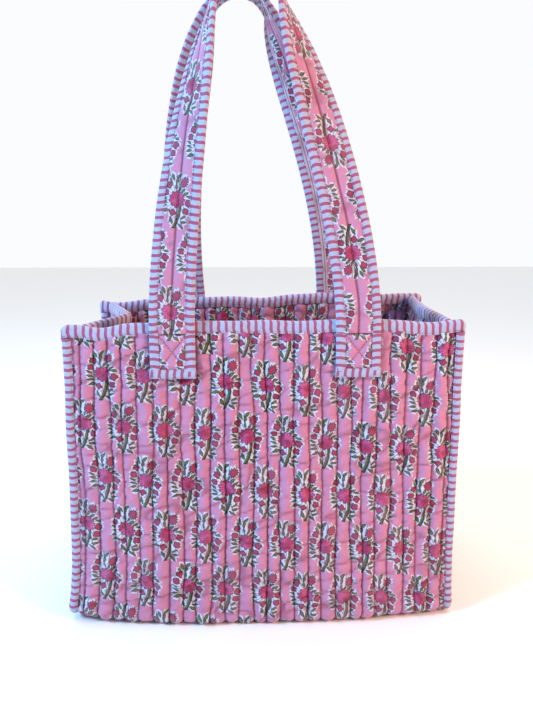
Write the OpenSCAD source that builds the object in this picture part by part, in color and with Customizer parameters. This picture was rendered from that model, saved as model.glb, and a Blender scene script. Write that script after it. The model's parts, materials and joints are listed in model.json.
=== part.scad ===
// Quilted cotton tote bag with two shoulder straps.
// X runs across the bag, -Y is its front, +Z is up. The origin is under the middle of the base.

/* [Bag] */
// Width across the front panel, edge to edge of its side seams
bag_w = 402; // [340:1:440]
// Height from the floor to the rim
bag_h = 318; // [260:1:360]
// Depth of the base, front to back
base_d = 200; // [150:1:220]
// Depth of the open mouth, front to back
mouth_d = 146; // [120:1:150]
// How far the left side folds inwards at the rim
fold_in = 36; // [1:1:55]

/* [Quilt] */
// Thickness of the printed cloth and of the lining
cloth_t = 0.8; // [0.5:0.1:1]
// Thickness of the wadding between them
wadding_t = 3.4; // [2:0.1:5]
// Distance between rows of quilting stitches
channel_w = 14; // [10:1:20]
// Thickness of the sewing thread
thread_t = 0.4; // [0.3:0.1:0.5]

/* [Striped tape] */
// Height of the folded tape along the rim
rim_tape_h = 12.5; // [9:0.5:16]
// Width of the folded tape on the seams and straps
edge_tape_w = 9.5; // [8:0.5:11]
// Thickness of the tape
tape_t = 0.8; // [0.5:0.1:1]

/* [Straps] */
// Width of each strap
strap_w = 45; // [35:1:55]
// Distance from the middle of the bag to the middle of a strap end
strap_x = 92; // [80:1:115]
// Height of the stitched box at each strap end
box_h = 44; // [35:1:55]
// Height of the middle of the grip above the floor
grip_z = 618; // [560:1:680]
// Radius of the grip's arch
grip_r = 32; // [28:1:45]
// How far the front grip leans to the left of the bag's middle
grip_shift = 15; // [0:1:25]
// How far the back grip lies left of the front one
back_shift = 10; // [0:1:12]
// How far the back strap's left leg bows outwards
back_bow = 16; // [0:1:20]
// Distance from the bag's middle to the middle of a grip, front to back
grip_y = 27; // [25:1:40]

/* [Hidden] */

quilt_t = 2 * cloth_t + wadding_t;
gap = 0.1;                                   // clearance under every folded tape
seam = 0.05;                                 // clearance between panels that meet at a seam
far = 1000;                                  // past everything, for cutting

// The front and back panels lean inwards from the base to the mouth.
lean = atan((base_d - mouth_d) / 2 / bag_h);
slant = bag_h / cos(lean) - tape_t - gap;    // height of a panel, measured along its slope
panel_low = quilt_t + seam + quilt_t * sin(lean) + 0.1;
flange = 10;                                 // seam allowance outside each side panel
side_x = bag_w / 2 - flange;                 // outer face of each side panel
base_z = quilt_t + seam;                     // the side panels stand on the base
side_top = bag_h - tape_t - gap - 0.4;
fold_top = bag_h - rim_tape_h - 2;           // above this the left side's fold has its full depth

// Layers of the quilt: outer face and inner face, measured inwards.
PRINT = [0, cloth_t];
WADDING = [cloth_t, cloth_t + wadding_t];
LINING = [cloth_t + wadding_t, quilt_t];

// Strap ends, measured on the sloping front panel.
end_face = 0.5;                              // the strap end stands this far off the panel
strap_gap = 0.3;                             // clearance under the tape's lips on a turning strap
strap_lip = strap_gap + tape_t;
strap_back = gap + tape_t + strap_lip + 0.9; // the strap and its tape clear the rim's tape
strap_t = quilt_t;
strap_mid = strap_back + strap_t / 2;
end_top = slant + tape_t + gap - rim_tape_h - 0.5;
end_low = end_top - box_h;
strap_low = end_top + 0.2;                   // where the loose loop starts, just above the hinge

// ---------- frames and helpers ----------

module on_front() translate([0, -base_d / 2, 0]) rotate([-lean, 0, 0]) children();

module on_back() mirror([0, 1, 0]) on_front() children();

// A point of the front panel's own frame, given by its depth and its height along the slope.
function front_point(x, depth, up) = [
    x,
    -base_d / 2 + depth * cos(lean) + up * sin(lean),
    -depth * sin(lean) + up * cos(lean)
];

// Y of the front panel's inner face at height z.
function inner_y(z) = -base_d / 2 + z * tan(lean) + (quilt_t + seam) / cos(lean);

module box(low, high) translate(low) cube(high - low);

// A solid through a row of rings with equal numbers of points. steep says, for each side of
// a ring, along which diagonal its faces are split. caps are the faces of the first ring.
module loft(rings, steep, caps) {
    n = len(rings[0]);
    last = len(rings) - 1;
    sides = [for (k = [0 : last - 1]) for (j = [0 : n - 1])
        let (i = (j + 1) % n, a = k * n + j, b = k * n + i, c = a + n, d = b + n)
        each steep[j] ? [[a, b, d], [a, d, c]] : [[a, b, c], [b, d, c]]
    ];
    low = [for (f = caps) [for (j = [len(f) - 1 : -1 : 0]) f[j]]];
    high = [for (f = caps) [for (j = f) last * n + j]];
    polyhedron([for (r = rings) each r], concat(sides, low, high));
}

// ---------- front and back panels ----------

module panel_layer(layer) {
    box([-bag_w / 2, layer[0], panel_low], [bag_w / 2, layer[1], slant]);
}

// Rows of stitches that hold the layers together, just proud of the print.
module panel_stitches() {
    rows = floor((side_x - channel_w / 2) / channel_w);
    for (i = [-rows : rows])
        box([i * channel_w - thread_t / 2, -thread_t, panel_low + 4],
            [i * channel_w + thread_t / 2, 0, slant - rim_tape_h - 1]);
}

module front_print() color([0.93, 0.60, 0.72]) on_front() panel_layer(PRINT);
module front_wadding() color([0.96, 0.94, 0.90]) on_front() panel_layer(WADDING);
module front_lining() color([0.90, 0.62, 0.72]) on_front() panel_layer(LINING);
module front_quilting() color([0.95, 0.78, 0.84]) on_front() panel_stitches();

module back_print() color([0.93, 0.60, 0.72]) on_back() panel_layer(PRINT);
module back_wadding() color([0.96, 0.94, 0.90]) on_back() panel_layer(WADDING);
module back_lining() color([0.90, 0.62, 0.72]) on_back() panel_layer(LINING);
module back_quilting() color([0.95, 0.78, 0.84]) on_back() panel_stitches();

// ---------- side panels ----------

// Outline of a side panel, front to back and up, between the two leaning panels.
function side_outline(low, high) = [
    [inner_y(low), low], [-inner_y(low), low], [-inner_y(high), high], [inner_y(high), high]
];

module right_side_layer(layer) {
    translate([side_x - layer[1], 0, 0])
        rotate([90, 0, 90])
        linear_extrude(layer[1] - layer[0])
        polygon(side_outline(base_z, side_top));
}

// The left side folds inwards: its middle line leans in, and a crease runs from the foot of that
// line to each top corner. Below the creases it stays flat.
fold_reach = -inner_y(fold_top);

function fold_x(y, z) =
    -side_x + fold_in * max(0, min(1, (z - base_z) / (fold_top - base_z)) - abs(y) / fold_reach);

module left_side_layer(layer) {
    points = [
        for (depth = layer) for (z = [base_z, fold_top, side_top]) for (y = [inner_y(z), 0, -inner_y(z)])
            [fold_x(y, z) + depth, y, z]
    ];
    outer = [[1, 2, 5], [1, 5, 4], [1, 3, 0], [1, 4, 3], [4, 5, 8], [4, 8, 7], [4, 6, 3], [4, 7, 6]];
    inner = [for (f = outer) [f[2] + 9, f[1] + 9, f[0] + 9]];
    edge = [0, 3, 6, 7, 8, 5, 2, 1];
    rim = [for (k = [0 : 7]) let (a = edge[k], b = edge[(k + 1) % 8]) each [[a, b, b + 9], [a, b + 9, a + 9]]];
    polyhedron(points, concat(outer, inner, rim));
}

// Each row of stitches bends where it crosses the crease.
module left_side_stitches() {
    rows = 4;
    half = thread_t / 2;
    for (y = [for (side = [-1, 1]) for (k = [1 : rows]) side * k * channel_w]) {
        crease_z = base_z + abs(y) / fold_reach * (fold_top - base_z);
        rings = [for (z = [base_z + 2, crease_z, fold_top])
            let (out = fold_x(y, z) - thread_t - half, in = out + thread_t)
            [[out, y + half, z], [out, y - half, z], [in, y - half, z], [in, y + half, z]]
        ];
        loft(rings, [true, true, true, true], [[0, 1, 2, 3]]);
    }
}

module right_side_stitches() {
    rows = 4;
    for (k = [-rows : rows])
        box([side_x, k * channel_w - thread_t / 2, base_z + 4],
            [side_x + thread_t, k * channel_w + thread_t / 2, side_top - rim_tape_h - 1]);
}

module left_side_print() color([0.93, 0.60, 0.72]) left_side_layer(PRINT);
module left_side_wadding() color([0.96, 0.94, 0.90]) left_side_layer(WADDING);
module left_side_lining() color([0.90, 0.62, 0.72]) left_side_layer(LINING);
module left_side_quilting() color([0.95, 0.78, 0.84]) left_side_stitches();

module right_side_print() color([0.93, 0.60, 0.72]) right_side_layer(PRINT);
module right_side_wadding() color([0.96, 0.94, 0.90]) right_side_layer(WADDING);
module right_side_lining() color([0.90, 0.62, 0.72]) right_side_layer(LINING);
module right_side_quilting() color([0.95, 0.78, 0.84]) right_side_stitches();

// ---------- base ----------

module base_layer(layer) {
    box([-side_x, -base_d / 2, layer[0]], [side_x, base_d / 2, layer[1]]);
}

// The base's rows show on its inner face, because the bag stands on the outer one.
module base_stitches() {
    rows = floor((side_x - 2 * channel_w) / channel_w);
    reach = -inner_y(quilt_t) - channel_w;
    for (i = [-rows : rows])
        box([i * channel_w - thread_t / 2, -reach, quilt_t],
            [i * channel_w + thread_t / 2, reach, quilt_t + thread_t]);
}

module base_print() color([0.93, 0.60, 0.72]) base_layer(PRINT);
module base_wadding() color([0.96, 0.94, 0.90]) base_layer(WADDING);
module base_lining() color([0.90, 0.62, 0.72]) base_layer(LINING);
module base_quilting() color([0.95, 0.78, 0.84]) base_stitches();

// ---------- striped tape on the rim ----------

// Tape folded over the top edge of the front or back panel. Its inner lip stops at the side
// panels' linings, and the left one has already started to fold inwards there.
module panel_rim() {
    top = slant + gap + tape_t;
    low = top - rim_tape_h;
    out = bag_w / 2 + gap + tape_t;
    right = side_x - quilt_t - gap;
    left = -right + fold_x(inner_y(side_top) + gap + tape_t, side_top) + side_x;
    box([-out, -gap - tape_t, low], [out, -gap, top]);
    box([left, quilt_t + gap, low], [right, quilt_t + gap + tape_t, top]);
    box([-out, -gap - tape_t, slant + gap], [out, quilt_t + gap, top]);
    box([left, quilt_t, slant + gap], [right, quilt_t + gap + tape_t, top]);
    for (side = [-1, 1])
        box([side * (bag_w / 2 + gap + tape_t / 2) - tape_t / 2, -gap - tape_t, low],
            [side * (bag_w / 2 + gap + tape_t / 2) + tape_t / 2, quilt_t + gap, top]);
}

// Plan of a side panel at the rim, as a strip between two depths.
function rim_strip(folded, shallow, deep) = let (end = inner_y(bag_h) + tape_t / 2) [
    for (way = [1, -1]) for (y = [end, 0, -end])
        [(folded ? fold_x(y, side_top) : -side_x) + (way > 0 ? shallow : deep), way * y]
];

module side_rim(folded) {
    top = side_top + gap + tape_t;
    slack = folded ? 3 * gap : gap;
    translate([0, 0, top - rim_tape_h])
        linear_extrude(rim_tape_h) {
            polygon(rim_strip(folded, -slack - tape_t, -slack));
            polygon(rim_strip(folded, quilt_t + slack, quilt_t + slack + tape_t));
        }
    translate([0, 0, side_top + gap])
        linear_extrude(tape_t)
        polygon(rim_strip(folded, -slack - tape_t, quilt_t + slack + tape_t));
}

module rim_binding() color([0.86, 0.84, 0.92]) {
    on_front() panel_rim();
    on_back() panel_rim();
    side_rim(true);
    mirror([1, 0, 0]) side_rim(false);
}

// ---------- striped tape on the side seams ----------

// Tape folded round one upright edge of the front panel.
module upright_tape() {
    edge = bag_w / 2;
    high = slant + tape_t + gap - rim_tape_h - 0.2;
    box([edge - edge_tape_w + 1, -gap - tape_t, 0], [edge + gap + tape_t, -gap, high]);
    box([edge - edge_tape_w + 1, quilt_t + gap, 0], [edge + gap + tape_t, quilt_t + gap + tape_t, high]);
    box([edge + gap, -gap - tape_t, 0], [edge + gap + tape_t, quilt_t + gap + tape_t, high]);
}

// One tape runs down the front, under the side and up the back.
module seam_tape() {
    out = bag_w / 2 + gap + tape_t;
    intersection() {
        union() {
            on_front() upright_tape();
            on_back() upright_tape();
            box([side_x + gap, -base_d / 2, 0], [out, base_d / 2, quilt_t - gap]);
        }
        box([0, -far, 0], [far, far, far]);
    }
}

module left_seam_binding() color([0.86, 0.84, 0.92]) mirror([1, 0, 0]) seam_tape();
module right_seam_binding() color([0.86, 0.84, 0.92]) seam_tape();

// ---------- strap ends sewn to the panels ----------

module strap_end(x) {
    half = strap_w / 2 - tape_t - gap;
    box([x - half, -strap_back - strap_t, end_low + tape_t + gap], [x + half, -end_face, end_top]);
}

// Tape folded over both edges and the foot of a strap end.
module end_binding(x) {
    half = strap_w / 2;
    front = -strap_back - strap_t;
    difference() {
        box([x - half, front - gap - tape_t, end_low], [x + half, -end_face, end_top]);
        box([x - half + tape_t, front - gap, end_low + tape_t], [x + half - tape_t, far, far]);
        box([x - half + edge_tape_w, -far, end_low + edge_tape_w], [x + half - edge_tape_w, far, far]);
    }
}

// A box and a cross of thread, proud of the strap end.
module box_stitch(x) {
    half = strap_w / 2 - edge_tape_w - 1.5;
    low = end_low + edge_tape_w + 1.5;
    high = end_top - 1.5;
    face = -strap_back - strap_t;
    rise = high - low;
    reach = norm([2 * half, rise]);
    turn = atan2(rise, 2 * half);
    translate([x, face, low]) {
        for (z = [0, rise - thread_t]) box([-half, -thread_t, z], [half, 0, z + thread_t]);
        for (side = [-1, 1])
            box([side * (half - thread_t / 2) - thread_t / 2, -thread_t, 0],
                [side * (half - thread_t / 2) + thread_t / 2, 0, rise]);
        for (side = [-1, 1])
            translate([0, -thread_t / 2, rise / 2])
            rotate([0, side * turn, 0])
            cube([reach - 2, thread_t, thread_t], center = true);
    }
}

module front_left_strap_end() color([0.93, 0.60, 0.72]) on_front() strap_end(-strap_x);
module front_right_strap_end() color([0.93, 0.60, 0.72]) on_front() strap_end(strap_x);
module back_left_strap_end() color([0.93, 0.60, 0.72]) on_back() strap_end(-strap_x);
module back_right_strap_end() color([0.93, 0.60, 0.72]) on_back() strap_end(strap_x);
module front_left_end_binding() color([0.86, 0.84, 0.92]) on_front() end_binding(-strap_x);
module front_right_end_binding() color([0.86, 0.84, 0.92]) on_front() end_binding(strap_x);
module back_left_end_binding() color([0.86, 0.84, 0.92]) on_back() end_binding(-strap_x);
module back_right_end_binding() color([0.86, 0.84, 0.92]) on_back() end_binding(strap_x);
module front_left_box_stitch() color([0.80, 0.35, 0.50]) on_front() box_stitch(-strap_x);
module front_right_box_stitch() color([0.80, 0.35, 0.50]) on_front() box_stitch(strap_x);
module back_left_box_stitch() color([0.80, 0.35, 0.50]) on_back() box_stitch(-strap_x);
module back_right_box_stitch() color([0.80, 0.35, 0.50]) on_back() box_stitch(strap_x);

// ---------- loose strap loops ----------

leg_rings = 12;
arch_rings = 7;
arch_slope = 20;                             // the legs still lean this much where the arch starts

// Of a strap: the grip's place across the bag, how far its left leg bows out, how far up the bow
// lies, and how soon the left and right legs start to turn towards the grip.
GRIP = 0;
BOW = 1;
BOW_RISE = 2;
TURN = 3;
FRONT_STRAP = [-grip_shift, 0, 0.35, [1.5, 2.4]];
BACK_STRAP = [-grip_shift - back_shift, back_bow, 0.5, [2.4, 2.4]];

function bezier(a, b, c, d, t) =
    pow(1 - t, 3) * a + 3 * pow(1 - t, 2) * t * b + 3 * (1 - t) * t * t * c + t * t * t * d;

function unit(v) = v / norm(v);

// A point of a strap on the front panel's side of the bag. A leg rises along the panel's slope,
// then leans towards the grip. side is -1 on the left.
function leg_point(strap, side, t) =
    let (
        start = front_point(side * strap_x, -strap_mid, strap_low),
        rise = grip_z - start[2],
        finish = arch_point(strap, side < 0 ? arch_slope : 180 - arch_slope),
        up = [0, sin(lean), cos(lean)],
        out = side < 0 ? [-strap[BOW], 0, 0] : [0, 0, 0],
        over = [side * sin(arch_slope), 0, -cos(arch_slope)]
    )
    bezier(start, start + up * rise * strap[BOW_RISE] + out, finish + over * rise * 0.18, finish, t);

function arch_point(strap, angle) =
    [strap[GRIP] - grip_r * cos(angle), -grip_y, grip_z + grip_r * sin(angle)];

// The middle line of a strap, up the left leg, over the grip and down the right leg.
arch_step = (180 - 2 * arch_slope) / arch_rings;
function strap_line(strap) = concat(
    [for (k = [0 : leg_rings]) leg_point(strap, -1, k / leg_rings)],
    [for (k = [1 : arch_rings - 1]) arch_point(strap, arch_slope + k * arch_step)],
    [for (k = [leg_rings : -1 : 0]) leg_point(strap, 1, k / leg_rings)]
);
strap_last = 2 * leg_rings + arch_rings;

// The strap lies flat on the panel at each end and turns to lie flat over the hand.
function strap_turn(strap, k) =
    let (t = min(1, min(k, strap_last - k) / leg_rings))
    90 * pow(t, strap[TURN][k < strap_last / 2 ? 0 : 1]);

function strap_along(line, k) =
    k == 0 || k == strap_last
        ? [0, sin(lean), cos(lean)] * (k == 0 ? 1 : -1)
        : unit(line[k + 1] - line[k - 1]);

// A ring of the strap: its section's points are [across the width, out from the middle].
function strap_ring(line, turn, k, section) =
    let (
        along = strap_along(line, k),
        front = unit([0, -1, 0] + along[1] * along),
        side = cross(front, along),
        out = front * cos(turn) + side * sin(turn),
        across = cross(along, out)
    )
    [for (p = section) line[k] + across * p[0] + out * p[1]];

// One solid swept along the strap, from a section of eight points. Two layers that share a
// surface split it along the same diagonals, so that they meet exactly.
module strap_sweep(strap, section) {
    n = len(section);
    line = strap_line(strap);
    loft(
        [for (k = [0 : strap_last]) strap_ring(line, strap_turn(strap, k), k, section)],
        [for (j = [0 : n - 1]) let (step = section[(j + 1) % n] - section[j]) step[0] + step[1] > 0],
        [[0, 1, 6, 7], [1, 2, 5, 6], [2, 3, 4, 5]]
    );
}

strap_half = strap_w / 2 - tape_t - 0.8;     // half the width inside the tape
tape_in = strap_w / 2 - edge_tape_w;         // where the tape's lips start

// Section of a strap layer, from its back face to its front face.
function layer_section(back, front) = [
    [-strap_half, back], [-tape_in, back], [tape_in, back], [strap_half, back],
    [strap_half, front], [tape_in, front], [-tape_in, front], [-strap_half, front]
];

// Section of the tape folded over one edge of the strap.
function tape_section(side) =
    let (
        mouth = side * tape_in,
        bed = side * (strap_w / 2 - tape_t),
        edge = side * strap_w / 2,
        near = strap_t / 2 + strap_gap,
        away = near + tape_t,
        points = [
            [mouth, -away], [edge, -away], [edge, away], [mouth, away],
            [mouth, near], [bed, near], [bed, -near], [mouth, -near]
        ]
    )
    side > 0 ? points : [for (k = [7 : -1 : 0]) points[k]];

module strap_print(strap) strap_sweep(strap, layer_section(strap_t / 2 - cloth_t, strap_t / 2));
module strap_wadding(strap) strap_sweep(strap, layer_section(cloth_t - strap_t / 2, strap_t / 2 - cloth_t));
module strap_backing(strap) strap_sweep(strap, layer_section(-strap_t / 2, cloth_t - strap_t / 2));
module strap_binding(strap) for (side = [-1, 1]) strap_sweep(strap, tape_section(side));

module front_strap_print() color([0.93, 0.60, 0.72]) strap_print(FRONT_STRAP);
module front_strap_wadding() color([0.96, 0.94, 0.90]) strap_wadding(FRONT_STRAP);
module front_strap_backing() color([0.90, 0.62, 0.72]) strap_backing(FRONT_STRAP);
module front_strap_binding() color([0.86, 0.84, 0.92]) strap_binding(FRONT_STRAP);
module back_strap_print() color([0.93, 0.60, 0.72]) mirror([0, 1, 0]) strap_print(BACK_STRAP);
module back_strap_wadding() color([0.96, 0.94, 0.90]) mirror([0, 1, 0]) strap_wadding(BACK_STRAP);
module back_strap_backing() color([0.90, 0.62, 0.72]) mirror([0, 1, 0]) strap_backing(BACK_STRAP);
module back_strap_binding() color([0.86, 0.84, 0.92]) mirror([0, 1, 0]) strap_binding(BACK_STRAP);

front_print();
front_wadding();
front_lining();
front_quilting();
back_print();
back_wadding();
back_lining();
back_quilting();
left_side_print();
left_side_wadding();
left_side_lining();
left_side_quilting();
right_side_print();
right_side_wadding();
right_side_lining();
right_side_quilting();
base_print();
base_wadding();
base_lining();
base_quilting();
rim_binding();
left_seam_binding();
right_seam_binding();
front_left_strap_end();
front_right_strap_end();
back_left_strap_end();
back_right_strap_end();
front_left_end_binding();
front_right_end_binding();
back_left_end_binding();
back_right_end_binding();
front_left_box_stitch();
front_right_box_stitch();
back_left_box_stitch();
back_right_box_stitch();
front_strap_print();
front_strap_wadding();
front_strap_backing();
front_strap_binding();
back_strap_print();
back_strap_wadding();
back_strap_backing();
back_strap_binding();
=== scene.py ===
"""Looks of the quilted tote bag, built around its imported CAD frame. Metres, +Z up, -Y is the front.

The quilt runs in one length down the front, under the base and up the back, and the two sides are
sewn between. Every tape, panel and strap is placed from the CAD nodes that it stands for.
"""

import json
import math

import bpy
import numpy as np
from mathutils import Matrix, Vector


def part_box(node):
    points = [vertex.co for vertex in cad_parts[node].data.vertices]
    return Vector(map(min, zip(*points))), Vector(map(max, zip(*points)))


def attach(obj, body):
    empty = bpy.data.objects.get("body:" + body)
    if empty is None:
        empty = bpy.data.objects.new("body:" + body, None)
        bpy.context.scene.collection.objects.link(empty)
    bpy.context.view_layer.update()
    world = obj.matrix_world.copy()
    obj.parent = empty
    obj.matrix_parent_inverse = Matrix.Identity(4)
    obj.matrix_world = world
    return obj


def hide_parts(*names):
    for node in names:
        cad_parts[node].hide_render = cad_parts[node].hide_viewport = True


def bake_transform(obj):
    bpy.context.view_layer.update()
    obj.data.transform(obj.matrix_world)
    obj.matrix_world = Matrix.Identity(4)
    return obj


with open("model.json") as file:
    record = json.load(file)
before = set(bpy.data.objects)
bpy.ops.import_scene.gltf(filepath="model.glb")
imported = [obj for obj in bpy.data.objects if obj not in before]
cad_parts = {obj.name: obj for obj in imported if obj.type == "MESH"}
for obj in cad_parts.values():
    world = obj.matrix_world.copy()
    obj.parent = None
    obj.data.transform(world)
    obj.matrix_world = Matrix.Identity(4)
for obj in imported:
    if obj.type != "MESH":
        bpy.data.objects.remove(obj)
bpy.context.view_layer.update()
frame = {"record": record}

MM = 0.001


def low(node, axis):
    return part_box(node)[0][axis]


def high(node, axis):
    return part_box(node)[1][axis]


# ----- sizes, from the frame -----

X, Y, Z = 0, 1, 2
HALF_W = high("front_print", X)  # edge of the quilt at the side seams
SIDE_X = high("base_print", X)  # outer face of each side panel
HALF_BASE = high("base_print", Y)
QUILT = high("base_lining", Z)
HALF_MOUTH = QUILT - high("front_lining", Y)
RIM_Z = high("rim_binding", Z)
RIM_DEPTH = RIM_Z - low("rim_binding", Z)
FOLD_IN = high("left_side_print", X) + SIDE_X
STRAP_W = high("front_right_end_binding", X) - low("front_right_end_binding", X)
STRAP_X = high("front_right_end_binding", X) - STRAP_W / 2
END_LOW = low("front_right_end_binding", Z)
END_TOP = high("front_right_end_binding", Z)
HINGE = {j["child"]: Vector(j["pos_m"]) for j in frame["record"]["behaviour"]["joints"]}
GRIP = {m["name"]: Vector(m["pos_m"]) for m in frame["record"]["mounts"]}
GRIP_R = 32 * MM
STRAP_BACK = 3.6 * MM  # from a strap's outer face, where its hinge lies, to its middle
GRIP_Z = GRIP["front_grip"].z - GRIP_R + STRAP_BACK  # middle of the grip's arch

CHANNEL = 14 * MM  # distance between rows of quilting
EDGE_TAPE = 9.5 * MM  # width of a seam's or strap's tape, once folded
CLOTH = 0.6 * MM  # thickness of a cloth
MID = QUILT / 2  # from the quilt's outer face to its middle


# ----- numbers that repeat -----


def noise(x, y, seed):
    """Smooth noise from -1 to 1, with features about one unit apart, the same ones each time."""
    size = 97
    table = np.random.default_rng(seed).uniform(-1, 1, (size, size))
    x, y = np.broadcast_arrays(x, y)
    i, j = np.floor(x).astype(int), np.floor(y).astype(int)
    a, b = x - i, y - j
    a, b = a * a * (3 - 2 * a), b * b * (3 - 2 * b)
    v = [table[(i + p) % size, (j + q) % size] for p in (0, 1) for q in (0, 1)]
    return (v[0] * (1 - b) + v[1] * b) * (1 - a) + (v[2] * (1 - b) + v[3] * b) * a


def ramp(value, start, end):
    """0 at start and 1 at end, with a soft step between them."""
    t = np.clip((value - start) / (end - start), 0, 1)
    return t * t * (3 - 2 * t)


def unit(v):
    return v / np.maximum(np.linalg.norm(v, axis=-1, keepdims=True), 1e-12)


def lengths(points):
    """Distance along a line of points, from its first."""
    steps = np.linalg.norm(np.diff(points, axis=0), axis=1)
    return np.concatenate([[0], np.cumsum(steps)])


# ----- meshes -----


def grid_faces(n, m, wrap=False):
    """Quads between n rows of m points; wrap joins the last column to the first."""
    i, j = np.meshgrid(np.arange(n - 1), np.arange(m if wrap else m - 1), indexing="ij")
    k = (j + 1) % m
    return np.stack([i * m + j, i * m + k, (i + 1) * m + k, (i + 1) * m + j], -1).reshape(-1, 4)


def mesh_object(name, points, faces, cloth, seam=None):
    """A smooth mesh with its cloth coordinates, in metres, as the UV map 'cloth'."""
    mesh = bpy.data.meshes.new(name)
    mesh.from_pydata(points.reshape(-1, 3).tolist(), [], [list(map(int, f)) for f in faces])
    uv = mesh.uv_layers.new(name="cloth")
    corner = np.zeros(len(mesh.loops), np.int32)
    mesh.loops.foreach_get("vertex_index", corner)
    uv.data.foreach_set("uv", cloth.reshape(-1, 2)[corner].ravel())
    # The 'seam' attribute holds painted shade, which the print's material darkens by.
    if seam is not None:
        mark = mesh.attributes.new("seam", "FLOAT", "POINT")
        mark.data.foreach_set("value", np.asarray(seam, np.float32).ravel())
    mesh.polygons.foreach_set("use_smooth", [True] * len(mesh.polygons))
    mesh.update()
    o = bpy.data.objects.new(name, mesh)
    bpy.context.scene.collection.objects.link(o)
    return o


def grid_object(name, points, cloth, seam=None):
    """An open sheet over a grid of points."""
    n, m = points.shape[:2]
    return mesh_object(name, points, grid_faces(n, m), cloth, seam)


def turn_to(o, out, face):
    """Turns a sheet's faces over unless the one with that number looks out."""
    if np.array(o.data.polygons[face].normal) @ out < 0:
        o.data.flip_normals()


def thicken(o):
    """Gives a sheet of cloth its thickness, inwards from its face."""
    solid = o.modifiers.new("thickness", "SOLIDIFY")
    solid.thickness = CLOTH
    solid.offset = -1
    return o


def shell_object(name, outer, inner, cloth):
    """A closed pad between two grids of points."""
    n, m = outer.shape[:2]
    top = grid_faces(n, m)
    low_side = top[:, ::-1] + n * m
    loop = list(range(m)) + [i * m + m - 1 for i in range(1, n)]
    loop += [(n - 1) * m + j for j in range(m - 2, -1, -1)] + [i * m for i in range(n - 2, 0, -1)]
    around = [(b, a, a + n * m, b + n * m) for a, b in zip(loop, loop[1:] + loop[:1])]
    faces = np.concatenate([top, low_side, around])
    return mesh_object(name, np.concatenate([outer, inner]), faces, np.concatenate([cloth, cloth]))


def join_parts(name, parts):
    """One object from several lots of points, faces and cloth coordinates."""
    points, faces, cloth, start = [], [], [], 0
    for p, f, c in parts:
        points.append(p)
        faces += [[v + start for v in face] for face in f]
        cloth.append(c)
        start += len(p)
    return mesh_object(name, np.concatenate(points), faces, np.concatenate(cloth))


# Kinds of stitch: the length of one, the gap between two, and the thread's radius.
QUILT_STITCH = (3.0 * MM, 2.2 * MM, 0.26 * MM)
EDGE_STITCH = (2.2 * MM, 1.3 * MM, 0.25 * MM)
MIDDLE_STITCH = (2.6 * MM, 2.0 * MM, 0.24 * MM)
BOX_STITCH = (2.6 * MM, 1.0 * MM, 0.30 * MM)


def stitch_parts(line, out, kind, first=0.0):
    """Short stitches of thread along a line, each a slim spindle that lies on the cloth."""
    stitch, space, radius = kind
    at = lengths(line)
    starts = np.arange(first + space / 2, at[-1] - stitch, stitch + space)
    ends = starts + stitch

    def on_line(values, along):
        return np.stack([np.interp(along, at, values[:, k]) for k in range(3)], -1)

    a, b = on_line(line, starts), on_line(line, ends)
    lift = unit(on_line(out, starts))
    ahead = unit(b - a)
    side = unit(np.cross(ahead, lift))
    corners = [(k + 0.5) * math.pi / 2 for k in range(4)]
    ring = [(side * math.cos(t) + lift * math.sin(t)) * radius for t in corners]
    span = b - a
    rows = [a[:, None]]
    for share in (0.2, 0.8):
        rows.append(np.stack([a + span * share + r + lift * radius * 0.7 for r in ring], 1))
    rows.append(b[:, None])
    points = np.concatenate(rows, 1)
    one = [(0, 1 + (k + 1) % 4, 1 + k) for k in range(4)]
    one += [(9, 5 + k, 5 + (k + 1) % 4) for k in range(4)]
    one += [(1 + k, 1 + (k + 1) % 4, 5 + (k + 1) % 4, 5 + k) for k in range(4)]
    faces = [[i * 10 + v for v in f] for i in range(len(starts)) for f in one]
    cloth = np.stack([np.repeat(starts, 10), np.tile(np.linspace(0, 1, 10), len(starts)) * MM], -1)
    return [(points.reshape(-1, 3), faces, cloth)]


def show(o, look, body, *nodes):
    """Gives a piece its material and hides the CAD nodes that it stands for. A piece of the bag is put on its
    body; a strap's piece is put on none, and only has its place baked into its points."""
    material, slot = look
    o.data.materials.append(material)
    if body in HINGE:
        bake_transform(o)
    else:
        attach(o, body)
    if nodes:
        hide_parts(*nodes)
    return o


# ----- materials -----


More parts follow.
